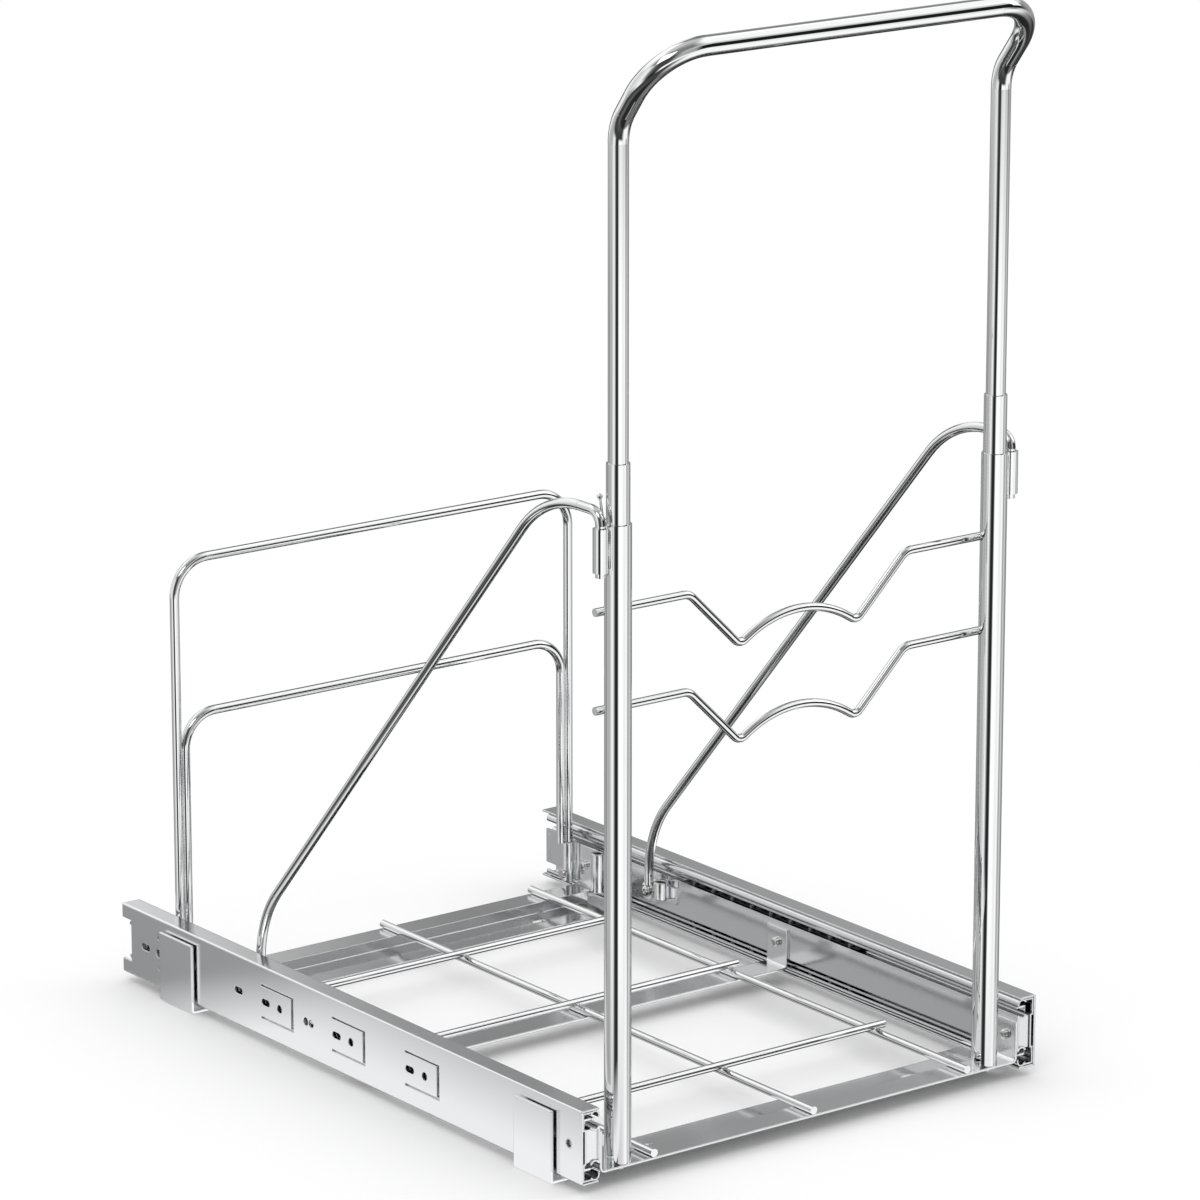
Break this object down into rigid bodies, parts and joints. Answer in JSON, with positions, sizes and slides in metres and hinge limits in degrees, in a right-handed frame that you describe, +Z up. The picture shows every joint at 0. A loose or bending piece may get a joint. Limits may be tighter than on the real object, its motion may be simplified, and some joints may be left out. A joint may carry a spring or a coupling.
{
  "type": "pull-out bin frame",
  "caption": "Pull-out bin frame of chromed wire and tube on full-extension ball slides, with floor brackets, rear hoops, side braces, wavy guards and a telescopic handle.",
  "frame": {"origin": "centre of the whole frame's plan at floor height, under the bracket feet", "axes": "+Z up, -Y is the front towards which the carriage pulls out, +X to the right seen from the front, along the bars"},
  "size_m": [0.3546, 0.5225, 0.679],
  "materials": {
    "rail_zinc": "satin",
    "slide_zinc": "satin",
    "sheet_zinc": "satin",
    "wire_chrome": "polished",
    "tube_chrome": "polished",
    "screw_steel": "polished",
    "ball_steel": "polished",
    "cage_steel": "satin",
    "black_rubber": "matte",
    "grey_plastic": "matte"
  },
  "bodies": {
    "base": {"left_rail": "rail_zinc", "right_rail": "rail_zinc", "left_fixed_member": "slide_zinc", "right_fixed_member": "slide_zinc", "rail_rivets": "screw_steel", "left_bumper": "black_rubber", "right_bumper": "black_rubber", "left_front_bracket": "sheet_zinc", "left_rear_bracket": "sheet_zinc", "right_front_bracket": "sheet_zinc", "right_rear_bracket": "sheet_zinc"},
    "left_middle": {"left_middle_member": "slide_zinc"},
    "left_outer_rows": {"left_outer_cage": "cage_steel", "left_outer_balls": "ball_steel"},
    "left_inner_rows": {"left_inner_cage": "cage_steel", "left_inner_balls": "ball_steel"},
    "right_middle": {"right_middle_member": "slide_zinc"},
    "right_outer_rows": {"right_outer_cage": "cage_steel", "right_outer_balls": "ball_steel"},
    "right_inner_rows": {"right_inner_cage": "cage_steel", "right_inner_balls": "ball_steel"},
    "handle": {"handle_tube": "tube_chrome", "handle_glides": "grey_plastic"},
    "carriage": {"left_drawer_member": "slide_zinc", "right_drawer_member": "slide_zinc", "front_bar": "sheet_zinc", "middle_bar": "sheet_zinc", "rear_bar": "sheet_zinc", "bar_screws": "screw_steel", "long_wires": "wire_chrome", "cross_wires": "wire_chrome", "left_post": "tube_chrome", "right_post": "tube_chrome", "left_sleeve": "tube_chrome", "right_sleeve": "tube_chrome", "post_plugs": "grey_plastic", "post_screws": "screw_steel", "spring_levers": "wire_chrome", "brace_sockets": "wire_chrome", "left_brace": "wire_chrome", "right_brace": "wire_chrome", "left_brace_clip": "sheet_zinc", "right_brace_clip": "sheet_zinc", "brace_screws": "screw_steel", "upper_guard": "wire_chrome", "lower_guard": "wire_chrome", "outer_hoop": "wire_chrome", "inner_hoop": "wire_chrome", "left_hoop_clip": "sheet_zinc", "right_hoop_clip": "sheet_zinc", "socket_screws": "screw_steel"}
  },
  "joints": [
    {"name": "carriage_slide", "type": "slide", "parent": "base", "child": "carriage", "axis": [0, -1, 0], "range_m": [0, 0.45]},
    {"name": "left_middle_slide", "type": "slide", "parent": "base", "child": "left_middle", "axis": [0, -1, 0], "range_m": [0, 0.225]},
    {"name": "left_outer_rows_slide", "type": "slide", "parent": "base", "child": "left_outer_rows", "axis": [0, -1, 0], "range_m": [0, 0.1125]},
    {"name": "left_inner_rows_slide", "type": "slide", "parent": "base", "child": "left_inner_rows", "axis": [0, -1, 0], "range_m": [0, 0.3375]},
    {"name": "right_middle_slide", "type": "slide", "parent": "base", "child": "right_middle", "axis": [0, -1, 0], "range_m": [0, 0.225]},
    {"name": "right_outer_rows_slide", "type": "slide", "parent": "base", "child": "right_outer_rows", "axis": [0, -1, 0], "range_m": [0, 0.1125]},
    {"name": "right_inner_rows_slide", "type": "slide", "parent": "base", "child": "right_inner_rows", "axis": [0, -1, 0], "range_m": [0, 0.3375]},
    {"name": "handle_height", "type": "slide", "parent": "carriage", "child": "handle", "axis": [0, 0, 1], "range_m": [-0.17, 0.06]}
  ],
  "couplings": [
    {"joint": "left_middle_slide", "follows": "carriage_slide", "ratio": 0.5},
    {"joint": "left_outer_rows_slide", "follows": "carriage_slide", "ratio": 0.25},
    {"joint": "left_inner_rows_slide", "follows": "carriage_slide", "ratio": 0.75},
    {"joint": "right_middle_slide", "follows": "carriage_slide", "ratio": 0.5},
    {"joint": "right_outer_rows_slide", "follows": "carriage_slide", "ratio": 0.25},
    {"joint": "right_inner_rows_slide", "follows": "carriage_slide", "ratio": 0.75}
  ]
}
